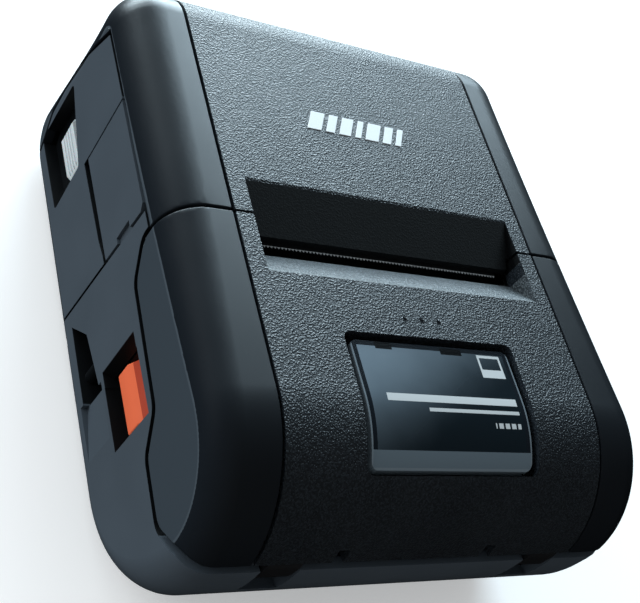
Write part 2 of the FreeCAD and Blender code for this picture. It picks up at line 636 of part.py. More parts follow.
boss_bores = [rod("boss_bore", "Z", at, (2, 11), s.screw_radius) for at in SCREW_PLACES]
ears = []
for inside, outside in ((s.lug_inner - 0.4 - s.ear_width, s.lug_inner - 0.4),
                        (s.lug_outer + 0.4, s.lug_outer + 0.4 + s.ear_width)):
    for span in hinge_spans(inside, outside):
        ears.append(rod("ear_barrel", "X", hinge_at, span, s.hinge_barrel))
        ears.append(prism("ear_web", "X", [
            (s.hinge_length - s.hinge_barrel, s.hinge_height),
            (s.hinge_length + s.hinge_barrel, s.hinge_height),
            (s.hinge_length + 4, 20), (s.hinge_length - 0.4, 20)], span))
ear_trim = common("ear_trim", fuse("ear_blocks", *ears), outer)
lug_slots = [rod("lug_slot", "X", hinge_at, span, s.hinge_sweep)
             for span in hinge_spans(s.lug_inner - 0.4, s.lug_outer + 0.4)]
tub_room = rod("tub_room", "X", tub_at, (-32, 32), 23.0)
bay_whole = fuse("bay_whole", roof, *bay_walls, bay_end, deck, *ribbed_bosses(BAY_SCREWS, 35.5))
bay_cut = cut("bay_cut", bay_whole, knob_room, tub_room, *boss_bores)
keep("battery_bay", common("battery_bay", bay_cut, inner))
boss_trim = common("boss_trim", fuse("case_bosses", *ribbed_bosses(CASE_SCREWS, 48)), inner)
middle = fuse("middle", case_holed, boss_trim, ear_trim, strap_bar)
hinge_hole = rod("hinge_hole", "X", hinge_at, (-37, 37), s.hinge_pin)
port_windows = [block("usb_window", (-FAR, -40), (11.2, 19.4), (31.2, 36.4)),
                rod("jack_window", "X", (24.8, 36.6), (-FAR, -40), 3.6)]
keep("middle_case", cut("middle_case", middle, hinge_hole, *lug_slots, *boss_bores))
bezel = block("port_bezel", (-46.4, -45.2), (7.6, 33), (23.8, 45.4))
keep("port_bezel", cut("port_bezel", bezel, *port_windows))

# ---------------------------------------------------------------- back plate

back_slab = common("back_slab", outer, block("back_band", (-FAR, FAR), (LOW, HIGH), (0, 3.0)))
battery_clear = block("battery_clear", (-bay_half, bay_half),
                      (s.battery_start - s.battery_gap, HIGH), (-5, 25))
CLIP_X, CLIP_LOW, CLIP_HIGH = 20.0, -26.0, -2.0
clip_places = [(x, y) for x in (-CLIP_X, CLIP_X) for y in (CLIP_LOW, CLIP_HIGH)]
clip_holes = [rod("clip_hole", "Z", at, (-5, 10), 2.5) for at in clip_places]
screw_holes = [rod("screw_hole", "Z", at, (-5, 10), 1.2) for at in SCREW_PLACES]
screw_sinks = [rod("screw_sink", "Z", at, (-5, 2.0), 2.3) for at in SCREW_PLACES]
back_notch = block("back_notch", (-FAR, -46), (1.2, 3.2), (0, 5))
keep("back_plate", cut("back_plate", back_slab, battery_clear, back_notch, *clip_holes, *screw_holes,
                       *screw_sinks))
inserts = [tube("clip_insert", "Z", at, (1.2, 5.2), 2.45, 1.25) for at in clip_places]
keep("clip_inserts", group("clip_inserts", *inserts))
screws = [fuse("screw", cut("screw_head", rod("head", "Z", at, (1.2, 2.0), 2.2),
                            block("screw_drive", (at[0] - 1.2, at[0] + 1.2), (at[1] - 0.25, at[1] + 0.25),
                                  (0, 1.7))),
               rod("screw_shank", "Z", at, (2.0, 9.5), s.screw_radius)) for at in SCREW_PLACES]
keep("case_screws", group("case_screws", *screws))
foot_places = [(-36, -38), (36, -38), (-38.4, 30), (38.4, 30)]
feet = [rod("foot", "Z", at, (0, BACK), 3.0 if at[1] < 0 else 2.6) for at in foot_places]
keep("rubber_feet", group("rubber_feet", *feet))

# ---------------------------------------------------------------- battery

pack_zone = block("pack_zone", (-s.battery_half, s.battery_half), (s.battery_start, HIGH),
                  (0, s.battery_height))
pack_whole = common("pack_whole", outer, pack_zone)
cell_room = block("cell_room", (-31, 31), (s.battery_start + 2, 56), (4.2, 16.2))
pull_grooves = [block("pull_groove", (-14, 14), (HALF_LENGTH - 0.8, HIGH), (11.4 + 1.8 * i, 12.2 + 1.8 * i))
                for i in range(3)]
keep("battery_shell", cut("battery_shell", pack_whole, cell_room, *pull_grooves))
cells = [block("cell", (x, x + 30.2), (s.battery_start + 2.4, 55.6), (4.5, 15.9)) for x in (-30.6, 0.4)]
keep("battery_cells", group("battery_cells", *cells))
blades = [block("blade", (x, x + 1.6), (s.battery_start - s.battery_gap, s.battery_start - 0.1), (8, 13))
          for x in (-9, -3, 3, 9)]
keep("battery_contacts", group("battery_contacts", *blades))

# ---------------------------------------------------------------- printing mechanism

plate_outline = [(-11.4, 20.2), (14.2, 20.2), (14.2, FRONT - s.wall - 1.2), (1.2, 49), (1.2, 37.4),
                 (-11.4, 37.4)]
PLATE = (31.6, 33.0)
plates = [prism("side_plate", "X", plate_outline, span) for span in ((-PLATE[1], -PLATE[0]), PLATE)]
back_bar = block("back_bar", (-PLATE[1], PLATE[1]), (11.4, 12.8), (39.4, 50))
foot_bar = block("foot_bar", (-PLATE[1], PLATE[1]), (-11, -7.5), (20.2, 21.6))
idler_stud = rod("idler_stud", "X", (s.idler_length, s.idler_height),
                 (PLATE[1] - 0.5, s.gear_plane + s.gear_thick + 0.6), 1.5)
latch_at = (s.latch_length, s.latch_height)
latch_bore = rod("latch_bore", "X", latch_at, (-FAR, FAR), s.latch_rod + s.running_gap)
shaft_hole = rod("shaft_hole", "X", pinion_axle, (30, 40), 4.2)
keep("mechanism_frame", cut("mechanism_frame", fuse("frame_solid", *plates, back_bar, foot_bar, idler_stud),
                            latch_bore, shaft_hole))
can = rod("motor_can", "X", pinion_axle, (PLATE[0] - s.motor_depth, PLATE[0] - 0.05), s.motor_radius)
spigot = rod("motor_spigot", "X", pinion_axle, (PLATE[0] - 0.1, PLATE[1]), 4.1)
motor_tag = block("motor_tag", (PLATE[0] - 12, PLATE[0] - 4), (pinion_axle[0] + 5.0, pinion_axle[0] + 11),
                  (26, 33))
bore_room = rod("motor_bore", "X", pinion_axle, (PLATE[0] - 8, PLATE[1] + 1), 1.05)
keep("stepper_motor", cut("stepper_motor", fuse("motor_solid", can, spigot, motor_tag), bore_room))
keep("motor_shaft", rod("motor_shaft", "X", pinion_axle, (PLATE[0] - 7.5, s.gear_plane + 4.6), 1.0))

NIP = s.platen_length + s.platen_radius + 0.3
head_board = block("head_board", (-29.5, 29.5), (NIP, NIP + 1.4), (39.5, 47.5))
keep("print_head", head_board)
fins = [block("fin_gap", (x - 2, x + 2), (2.2, 4.5), (38, 50)) for x in (-24, 0, 24)]
heatsink_bar = block("heatsink_bar", (-29.5, 29.5), (NIP + 1.4, 4.0), (39.5, 47.5))
keep("head_heatsink", cut("head_heatsink", heatsink_bar, *fins))


def spring(name, x, span, height, radius, wire, turns):
    """A round-wire compression spring along Y."""
    start, end = span
    pitch = (end - start - 2 * wire) / turns
    helix = document.addObject("Part::Helix", name + "_path")
    bind(helix, Pitch=pitch, Height=pitch * turns, Radius=radius)
    section = document.addObject("Part::Circle", name + "_section")
    bind(section, Radius=wire)
    section.Placement = FreeCAD.Placement(FreeCAD.Vector(radius, 0, 0),
                                          FreeCAD.Rotation(FreeCAD.Vector(1, 0, 0), 90))
    coil = document.addObject("Part::Sweep", name)
    coil.Sections = [section]
    coil.Spine = (helix, ["Edge1"])
    coil.Solid = True
    coil.Frenet = True
    coil.Placement = FreeCAD.Placement(FreeCAD.Vector(x, start + wire, height), TURNS["Y"])
    return coil


keep("head_springs", group("head_springs", *[
    spring("head_spring", x, (4.05, 11.35), 43.4, 1.8, 0.3, 5) for x in (-14, 14)]))

keep("latch_shaft", rod("latch_shaft", "X", latch_at, (-39.6, 39.6), s.latch_rod))
hook_nose = [(9.6, 50.2), (4, 50.6), (-3.2, 47.4), (-5.2, 44.8), (-5.5, 40.6), (-3.6, 39), (-1.4, 40.6),
             (-0.6, 43.6), (6, 45.2), (9.8, 46)]
hook_bore = rod("hook_bore", "X", latch_at, (-FAR, FAR), s.latch_rod)
hook_right = cut("hook_right", prism("hook_right_plate", "X", hook_nose, (38.2, 39.6)), hook_bore)
hook_arm = [(4.4, 47.4), (-8.4, 37.4), (-9, 33.9), (-13.4, 33.9), (-13.4, 31.9), (-8.4, 31.9), (9, 45)]
hook_left = cut("hook_left", fuse("hook_left_solid", prism("hook_left_plate", "X", hook_nose, (-39.6, -38.2)),
                                  prism("hook_left_arm", "X", hook_arm, (-39.6, -38.2))), hook_bore)
keep("latch_hooks", group("latch_hooks", hook_left, hook_right))

lever_face = prism("lever_face", "Y", [
    (-49.6, s.lever_back), (-49.6, s.lever_back + 4.4), (-46.4, s.lever_front - 0.2),
    (-45.0, s.lever_front - 0.2), (-45.0, s.lever_back)], (s.lever_low, s.lever_high))
lever_stem = block("lever_stem", (-45.2, -41.4), (-27, -21), (24.6, 28.4))
lever_bar = block("lever_bar", (-42.8, -41.4), (-27, -9.6), (24.6, 28.4))
lever_post = block("lever_post", (-42.8, -41.4), (-13.2, -9.6), (28.2, 36.4))
lever_tab = block("lever_tab", (-42.8, -38.4), (-13.2, -9.8), (34.4, 36.4))
keep("release_lever", fuse("release_lever", lever_face, lever_stem, lever_bar, lever_post, lever_tab))

coils = [tube("torsion_turn", "X", latch_at, (-26 + 1.1 * i, -25 + 1.1 * i), 2.5, 1.75) for i in range(4)]
coil_leg = block("torsion_leg", (-25.4, -24.6), (7.6, 11.3), (49.6, 50.3))
coil_wrap = block("torsion_wrap", (-26, -21.7), (5.6, 8.4), (49.7, 50.3))
keep("latch_spring", fuse("latch_spring", *coils, coil_wrap, coil_leg))

# ---------------------------------------------------------------- electronics

BOARD = (30.0, 31.6)
board_plate = block("board_plate", (-44.6, 34), (16, 47), BOARD)
board_holes = [rod("board_hole", "Z", (x, y), (28, 34), 1.3) for x in (-30, 30) for y in (19, 44)]
keep("main_board", cut("main_board", board_plate, *board_holes))
standoffs = [rod("standoff", "Z", (x, y), (20.2, BOARD[0]), 2.4) for x in (-30, 30) for y in (19, 44)]
keep("board_standoffs", group("board_standoffs", *standoffs))
usb_body = block("usb_body", (-47.0, -39.5), (11.6, 19.0), (BOARD[1], BOARD[1] + 4.4))
usb_room = block("usb_room", (-48, -41), (12.2, 18.4), (BOARD[1] + 0.6, BOARD[1] + 3.8))
keep("usb_socket", fuse("usb_socket", cut("usb_shell", usb_body, usb_room),
                        block("usb_tongue", (-46, -40.5), (13.2, 17.4), (BOARD[1] + 1.7, BOARD[1] + 2.5))))
jack_body = block("jack_body", (-44.8, -34), (20.6, 29.0), (BOARD[1], 41))
jack_nose = rod("jack_nose", "X", (24.8, 36.6), (-47, -44.8), 3.4)
jack_room = rod("jack_room", "X", (24.8, 36.6), (-50, -36), 2.75)
keep("power_jack", fuse("power_jack", cut("jack_shell", fuse("jack_solid", jack_body, jack_nose), jack_room),
                        rod("jack_pin", "X", (24.8, 36.6), (-46, -35), 0.8)))
keep("radio_module", block("radio_module", (2, 18), (22, 42), (BOARD[1], BOARD[1] + 2.6)))
chips = [block("chip", (x, x + w), (y, y + w), (BOARD[1], BOARD[1] + 1.2))
         for x, y, w in ((-24, 24, 12), (-8, 36, 7), (-8, 22, 6), (22, 24, 7))]
keep("board_chips", group("board_chips", *chips))
keep("buzzer", tube("buzzer", "Z", (26, 38), (BOARD[1], BOARD[1] + 4.5), 5.0, 0.8))
keep("panel_board", block("panel_board", (-27, 27), (50, 51.4), (26, 42)))
switches = [
    fuse("switch", block("switch_base", (x - 3, x + 3), (51.4, 54),
                         (s.button_height - 3, s.button_height + 3)),
         rod("switch_dome", "Y", (x, s.button_height), (53.9, 54.7), 1.6)) for x in BUTTONS]
keep("panel_switches", group("panel_switches", *switches))
pipes = [rod("pipe", "Y", (x, s.button_height + 5.5), (51.5, HALF_LENGTH + 0.1), 0.9) for x in PIPES]
keep("light_pipes", group("light_pipes", *pipes))
for label, x in zip(("power_button", "feed_button", "link_button"), BUTTONS):
    flange = rod(label + "_flange", "Y", (x, s.button_height), (56.4, HALF_LENGTH - s.wall - 0.2),
                 s.button_radius + 1.1)
    cap = rod(label + "_cap", "Y", (x, s.button_height), (57, HALF_LENGTH + s.button_proud), s.button_radius)
    dish = document.addObject("Part::Sphere", label + "_dish")
    bind(dish, Radius=16)
    place(dish, x, HALF_LENGTH + s.button_proud + 15.55, s.button_height)
    keep(label, cut(label, fuse(label + "_solid", flange, cap), dish))
keep("paper_sensor", block("paper_sensor", (-4, 4), (-11.4, -9), (21.6, 24.4)))
keep("hinge_pins", group("hinge_pins", *[rod("pin", "X", hinge_at, span, s.hinge_pin)
                                         for span in hinge_spans(24.2, 36.6)]))
ribbon = prism("ribbon", "X", [(4.6, 39.2), (9, 36), (13.2, 33), (17.5, 31.8), (17.5, 31.6), (13, 32.7),
                               (8.8, 35.7), (4.4, 39)], (-12, 12))
keep("head_ribbon", ribbon)

# ---------------------------------------------------------------- write the nodes

document.recompute()
for item in document.Objects:
    if "Invalid" in item.State or "Error" in item.State:
        raise RuntimeError("%s did not rebuild: %s" % (item.Name, item.State))
for label, item in nodes.items():
    if item.Shape.isNull() or not item.Shape.isValid():
        raise RuntimeError("%s has no valid shape" % label)
    if not item.Shape.Solids:
        raise RuntimeError("%s holds no solid" % label)
os.makedirs("parts", exist_ok=True)
for label, item in nodes.items():
    item.Shape.exportStep("parts/%s.step" % label)
    box = item.Shape.BoundBox
    print("%-22s solids %2d  volume %9.1f  x %6.1f %6.1f  y %6.1f %6.1f  z %6.1f %6.1f" % (
        label, len(item.Shape.Solids), item.Shape.Volume, box.XMin, box.XMax, box.YMin, box.YMax,
        box.ZMin, box.ZMax))
print(len(nodes), "nodes")
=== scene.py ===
import json
import math

import bmesh
import bpy
from mathutils import Matrix, Vector


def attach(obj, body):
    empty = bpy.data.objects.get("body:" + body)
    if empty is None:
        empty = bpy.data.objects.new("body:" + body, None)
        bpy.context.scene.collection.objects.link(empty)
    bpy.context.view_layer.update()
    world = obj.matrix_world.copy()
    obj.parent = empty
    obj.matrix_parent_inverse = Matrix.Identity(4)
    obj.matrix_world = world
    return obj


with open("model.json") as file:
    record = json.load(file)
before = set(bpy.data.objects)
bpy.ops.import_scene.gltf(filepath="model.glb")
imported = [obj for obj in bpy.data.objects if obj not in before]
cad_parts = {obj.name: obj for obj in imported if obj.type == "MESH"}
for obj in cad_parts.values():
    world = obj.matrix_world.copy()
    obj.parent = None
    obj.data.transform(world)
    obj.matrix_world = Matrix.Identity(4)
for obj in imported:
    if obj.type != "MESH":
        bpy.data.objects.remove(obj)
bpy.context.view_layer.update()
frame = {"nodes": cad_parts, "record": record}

# The looks of a rugged pocket label printer that lies on its back. Lengths are in metres.
# +X is right as the front face is read, +Y runs to the button end, +Z is out of the front face.

MM = 0.001
nodes = frame["nodes"]
bpy.ops.object.select_all(action="DESELECT")


# ------------------------------------------------------------------ shader values

class Value:
    """One output socket of a finish. Maths on it adds Math nodes."""

    def __init__(self, finish, socket):
        self.finish = finish
        self.socket = socket

    def maths(self, operation, *values):
        return self.finish.add("ShaderNodeMath", {"operation": operation}, dict(enumerate(values)))

    def __add__(self, other):
        return self.maths("ADD", self, other)

    __radd__ = __add__

    def __sub__(self, other):
        return self.maths("SUBTRACT", self, other)

    def __rsub__(self, other):
        return self.maths("SUBTRACT", other, self)

    def __mul__(self, other):
        return self.maths("MULTIPLY", self, other)

    __rmul__ = __mul__

    def __truediv__(self, other):
        return self.maths("DIVIDE", self, other)

    def __pow__(self, other):
        return self.maths("POWER", self, other)

    def __lt__(self, other):
        return self.maths("LESS_THAN", self, other)

    def __gt__(self, other):
        return self.maths("GREATER_THAN", self, other)

    def __abs__(self):
        return self.maths("ABSOLUTE", self)

    def __mod__(self, other):
        return self.maths("FLOORED_MODULO", self, other)

    def root(self):
        return self.maths("SQRT", self)

    def either(self, other):
        """The larger of two masks."""
        return self.maths("MAXIMUM", self, other)


# The Mix node has the same socket names for numbers, vectors and colours, so its colour sockets go by number.
MIX_SHARE, MIX_FIRST, MIX_SECOND, MIX_RESULT = 0, 6, 7, 2


class Finish:
    """A Principled material whose patterns lie on Object coordinates, which are the frame's metres."""

    def __init__(self, name, **uniform):
        self.material = bpy.data.materials.new(name)
        self.material.use_nodes = True
        self.tree = self.material.node_tree
        self.shader = self.tree.nodes["Principled BSDF"]
        for words, value in uniform.items():
            self.feed(words.replace("_", " ").title().replace("Ior", "IOR"), value)
        self.place = self.add("ShaderNodeTexCoord", output="Object")
        split = self.add("ShaderNodeSeparateXYZ", {}, {"Vector": self.place})
        self.x, self.y, self.z = (Value(self, split.socket.node.outputs[i]) for i in range(3))

    def add(self, kind, settings=None, values=None, output=0):
        """A node of that type: settings first, then its inputs' values or links."""
        node = self.tree.nodes.new(kind)
        for name, setting in (settings or {}).items():
            setattr(node, name, setting)
        for name, value in (values or {}).items():
            self.join(node.inputs[name], value)
        return Value(self, node.outputs[output])

    def join(self, socket, value):
        """Link a Value to an input, or set a plain value or a colour on it."""
        if isinstance(value, Value):
            self.tree.links.new(value.socket, socket)
        elif isinstance(value, tuple) and len(value) == 3 and socket.type == "RGBA":
            socket.default_value = (*value, 1)
        else:
            socket.default_value = value

    def feed(self, name, value):
        """One input of the finish's shader."""
        self.join(self.shader.inputs[name], value)

    def noise(self, size, detail=2.0, seed=0.0, stretch=(1, 1, 1)):
        """Noise from 0 to 1 whose features are about size across."""
        moved = self.add("ShaderNodeMapping", {}, {
            "Vector": self.place, "Location": (seed, seed * 0.7, -seed), "Scale": stretch})
        return self.add("ShaderNodeTexNoise", {}, {"Vector": moved, "Scale": 1 / size, "Detail": detail})

    def cells(self, size):
        """Distance from the nearest of many scattered points, about size apart, without creases."""
        return self.add("ShaderNodeTexVoronoi", {"feature": "SMOOTH_F1"}, {
            "Vector": self.place, "Scale": 1 / size})

    def ramp(self, value, low, high):
        """0 below low, 1 above high, smooth between."""
        return self.add("ShaderNodeMapRange", {"interpolation_type": "SMOOTHSTEP"}, {
            "Value": value, "From Min": low, "From Max": high})

    def mix(self, share, first, second):
        """A colour between two colours."""
        return self.add("ShaderNodeMix", {"data_type": "RGBA"}, {
            MIX_SHARE: share, MIX_FIRST: first, MIX_SECOND: second}, output=MIX_RESULT)

    def repaint(self, share, colour):
        """Change the base colour where share is 1."""
        before = Value(self, self.shader.inputs["Base Color"].links[0].from_socket)
        self.feed("Base Color", self.mix(share, before, colour))

    def bump(self, height, depth):
        """Relief: height 0 to 1 stands depth high."""
        self.feed("Normal", self.add("ShaderNodeBump", {}, {"Height": height, "Distance": depth}))

    def bar(self, centre, half):
        """1 inside a rectangle of the front face."""
        across = abs(self.x - centre[0] * MM) < half[0] * MM
        return across * (abs(self.y - centre[1] * MM) < half[1] * MM)


# ------------------------------------------------------------------ finishes

FINISHES = {}


def finish(slot):
    """Register the function that makes a slot's material."""
    def register(make):
        FINISHES[slot] = make
        return make
    return register


def moulded(name, colour, roughness, grain=0.22, depth=0.012, variety=0.14, **uniform):
    """Moulded plastic or rubber with fine spark texture, faint flow clouds and uneven gloss."""
    made = Finish(name, **uniform)
    clouds = made.noise(14 * MM, 3, seed=0.013)
    specks = made.noise(grain * MM, 2, seed=0.031)
    darker = tuple(channel * (1 - variety) for channel in colour)
    lighter = tuple(channel * (1 + variety) for channel in colour)
    made.feed("Base Color", made.mix(clouds * 0.7 + specks * 0.3, darker, lighter))
    made.feed("Roughness", roughness - 0.07 + 0.1 * clouds + 0.05 * specks)
    made.bump(specks, depth * MM)
    return made


@finish("grained_panel")
def grained_panel():
    """Pebbled leather-like grain on the strips down the middle of the front, painted near black inside the
    paper slot as shade and painted paler on the ledge below it as a highlight.
    """
    made = Finish("pebble_grain_slate", specular_ior_level=0.7)
    pebbles = made.cells(0.35 * MM)
    fine = made.noise(0.2 * MM, 2, seed=0.02)
    clouds = made.noise(16 * MM, 3, seed=0.05)
    crown = 1 - made.ramp(pebbles, 0.1, 0.62)
    shade = made.mix(crown * 0.7 + clouds * 0.3, (0.007, 0.0095, 0.013), (0.024, 0.033, 0.042))
    # Painted shade: the grain inside the paper slot is coloured near black.
    slot_mouth_shade = made.bar((0, 3.1), (33.4, 5.6)) * (made.z < 54.8 * MM)
    # Painted highlight: the ledge below the paper slot is coloured paler, brightest on the pebble crowns.
    sill_highlight = made.bar((0, -9.3), (33.4, 3.7)) * (made.z < 54.9 * MM)
    shade = made.mix(sill_highlight, shade, made.mix(crown, (0.03, 0.038, 0.044), (0.11, 0.135, 0.15)))
    made.feed("Base Color", made.mix(slot_mouth_shade, shade, (0.002, 0.0025, 0.003)))
    made.feed("Roughness", 0.44 + 0.07 * clouds - 0.07 * crown + 0.4 * slot_mouth_shade)
    made.bump((crown * 0.8 + fine * 0.45) * (1 - slot_mouth_shade * 0.8), 0.13 * MM)
    return made


@finish("soft_bumper")
def soft_bumper():
    """Soft-touch rubber: dark on the rounding, paler on the flat of the side, with a painted highlight line
    between.
    """
    made = moulded("soft_touch_slate", (0.0075, 0.0105, 0.0145), 0.42, grain=0.16, depth=0.004,
                   specular_ior_level=0.5)
    rounding_ends, flat_starts = 49.97 * MM, 49.997 * MM
    out = abs(made.x)
    made.repaint(out > rounding_ends, (0.036, 0.048, 0.06))
    # Painted highlight: a thin paler line where the rounding meets the flat of the side.
    made.repaint((out < flat_starts) * (out > rounding_ends) * 0.5, (0.07, 0.088, 0.105))
    return made


@finish("side_shell")
def side_shell():
    """Sanded side walls, with painted shade in their hollows and gaps and under the cover's overhang."""
    made = moulded("sanded_blue_grey", (0.052, 0.067, 0.083), 0.5, grain=0.2, depth=0.008,
                   specular_ior_level=0.35)
    out = abs(made.x)
    along, up = made.y, made.z
    # Painted shade: the walls under the cover's overhang and in the sunk areas are coloured near black.
    shade_under_cover = (out > 47 * MM) * (along > -52 * MM) * (up > 24 * MM)
    painted_recess_shade = (out < 49.93 * MM) * (along > -34 * MM).either(shade_under_cover)
    strap_ramp = (out > 48.4 * MM) * (along > -30 * MM) * (along < -14.6 * MM) * (up < 16.8 * MM)
    flap_fold = (abs(along - 32.2 * MM) < 0.7 * MM) * (up > 26.6 * MM)
    made.repaint(painted_recess_shade * (1 - strap_ramp) * (1 - flap_fold), (0.004, 0.005, 0.006))
    return made


@finish("back_shell")
def back_shell():
    return moulded("back_shell_slate", (0.022, 0.03, 0.038), 0.52, grain=0.35, depth=0.015)


@finish("flap_rubber")
def flap_rubber():
    return moulded("flap_rubber_slate", (0.051, 0.066, 0.082), 0.55, grain=0.18, depth=0.006,
                   specular_ior_level=0.35)


@finish("foot_rubber")
def foot_rubber():
    return moulded("foot_rubber_black", (0.012, 0.012, 0.013), 0.8, grain=0.3, depth=0.02)


@finish("platen_rubber")
def platen_rubber():
    """Ground rubber: fine rings round the roller."""
    made = Finish("ground_rubber", specular_ior_level=0.1)
    rings = made.noise(0.12 * MM, 1, stretch=(1, 0.02, 0.02))
    made.feed("Base Color", made.mix(rings, (0.006, 0.006, 0.007), (0.014, 0.014, 0.015)))
    made.feed("Roughness", 0.6 + 0.15 * rings)
    made.bump(rings, 0.01 * MM)
    return made


@finish("frame_black")
def frame_black():
    return moulded("inner_frame_black", (0.014, 0.014, 0.016), 0.5, grain=0.3, depth=0.012)


@finish("black_plastic")
def black_plastic():
    return moulded("component_black", (0.016, 0.016, 0.017), 0.45, grain=0.2, depth=0.01)


@finish("key_plastic")
def key_plastic():
    return moulded("key_satin_grey", (0.07, 0.082, 0.095), 0.4, grain=0.15, depth=0.005)


@finish("orange_plastic")
def orange_plastic():
    """Orange lever, darker on the bevel along its front edge."""
    made = moulded("signal_orange", (0.68, 0.125, 0.05), 0.36, grain=0.18, depth=0.004, variety=0.07)
    made.repaint(made.z > 28.6 * MM, (0.36, 0.045, 0.02))
    return made


@finish("pale_plastic")
def pale_plastic():
    return moulded("pale_grey_plastic", (0.5, 0.545, 0.56), 0.42, grain=0.18, depth=0.005, variety=0.05,
                   subsurface_weight=0.1, subsurface_scale=0.001)


@finish("gear_plastic")
def gear_plastic():
    return moulded("natural_acetal", (0.74, 0.72, 0.66), 0.38, grain=0.2, depth=0.004, variety=0.04,
                   subsurface_weight=0.15, subsurface_scale=0.002)


@finish("ceramic")
def ceramic():
    """Glazed ceramic with the dark line of heating dots along it, and its upper edge painted black as shade
    inside the paper slot.
    """
    made = Finish("glazed_ceramic", coat_weight=0.1)
    dots = abs(made.z - 42 * MM) < 0.35 * MM
    # Painted shade: the edge that shows through the paper slot is coloured black; the line of heating dots is
    # real.
    black = dots.either(made.z > 43.4 * MM)
    body = made.mix(made.noise(6 * MM), (0.62, 0.57, 0.44), (0.74, 0.69, 0.57))
    made.feed("Base Color", made.mix(black, body, (0.005, 0.004, 0.004)))
    made.feed("Roughness", 0.25 + 0.1 * made.noise(1.5 * MM) + 0.4 * black)
    return made


def metal(name, colour, roughness, lines=(0.06, 1, 1), depth=0.003):
    """Metal with drawn or rolled lines along it."""
    made = Finish(name, metallic=1.0)
    drawn = made.noise(0.25 * MM, 3, seed=0.01, stretch=lines)
    clouds = made.noise(9 * MM, 2, seed=0.04)
    dull = tuple(channel * 0.8 for channel in colour)
    made.feed("Base Color", made.mix(clouds * 0.6 + drawn * 0.4, dull, colour))
    made.feed("Roughness", roughness - 0.05 + 0.16 * drawn)
    made.bump(drawn, depth * MM)
    return made


@finish("steel")
def steel():
    return metal("plated_steel", (0.62, 0.63, 0.65), 0.3)


def tear_steel():
    """Steel painted near black as shade inside the paper slot, with bright ground teeth."""
    made = Finish("tear_bar_steel", specular_ior_level=0.1)
    teeth = (made.y < -2.95 * MM) * (made.z > 49.45 * MM)
    worn = made.noise(0.4 * MM, 2)
    bright = made.mix(worn, (0.3, 0.33, 0.35), (0.5, 0.54, 0.56))
    # Painted shade: the bar's body is coloured near black; only its teeth are paler.
    made.feed("Base Color", made.mix(teeth, (0.008, 0.009, 0.01), bright))
    made.feed("Roughness", 0.45 + 0.15 * worn)
    made.bump(worn, 0.004 * MM)
    return made


@finish("tin_plate")
def tin_plate():
    return metal("stamped_shield", (0.66, 0.67, 0.67), 0.33, lines=(1, 0.05, 1))


@finish("aluminium")
def aluminium():
    return metal("extruded_aluminium", (0.76, 0.77, 0.79), 0.36, lines=(0.04, 1, 1))


@finish("brass")
def brass():
    return metal("turned_brass", (0.78, 0.57, 0.27), 0.28, lines=(1, 1, 0.1))


@finish("board_green")
def board_green():
    """Solder mask with paler copper tracks under it and rows of plated holes."""
    made = Finish("solder_mask", coat_weight=0.3)
    pitch = 2.54 * MM
    lanes = abs((made.y + 3 * made.noise(24 * MM, 0) * MM) % pitch - pitch / 2)
    tracks = (lanes < 0.32 * MM) * (made.noise(7 * MM, 0, seed=0.09) > 0.45)
    holes = (((made.x % pitch - pitch / 2) ** 2 + (made.y % pitch - pitch / 2) ** 2).root() < 0.4 * MM)
    plated = holes * (made.noise(11 * MM, 0, seed=0.3) > 0.56)
    mask = made.mix(tracks, (0.008, 0.09, 0.04), (0.02, 0.19, 0.08))
    made.feed("Base Color", made.mix(plated, mask, (0.55, 0.5, 0.38)))
    made.feed("Metallic", plated * 0.9)
    made.feed("Roughness", 0.32 + 0.1 * tracks)
    made.bump(tracks + plated, 0.03 * MM)
    return made


@finish("cell_wrap")
def cell_wrap():
    return moulded("cell_shrink_wrap", (0.06, 0.12, 0.26), 0.3, grain=1.2, depth=0.03)


@finish("ribbon_film")
def ribbon_film():
    """Amber film with copper conductors along it."""
    made = Finish("ribbon_film")
    pitch = 1.0 * MM
    wires = abs(made.x % pitch - pitch / 2) < 0.28 * MM
    made.feed("Base Color", made.mix(wires, (0.5, 0.24, 0.05), (0.72, 0.36, 0.14)))
    made.feed("Metallic", wires * 0.5)
    made.feed("Roughness", 0.35 + 0.1 * made.noise(3 * MM))
    made.bump(wires, 0.03 * MM)
    return made


@finish("window_dark")
def window_dark():
    return moulded("window_border_black", (0.006, 0.007, 0.009), 0.42, grain=0.25, depth=0.006)


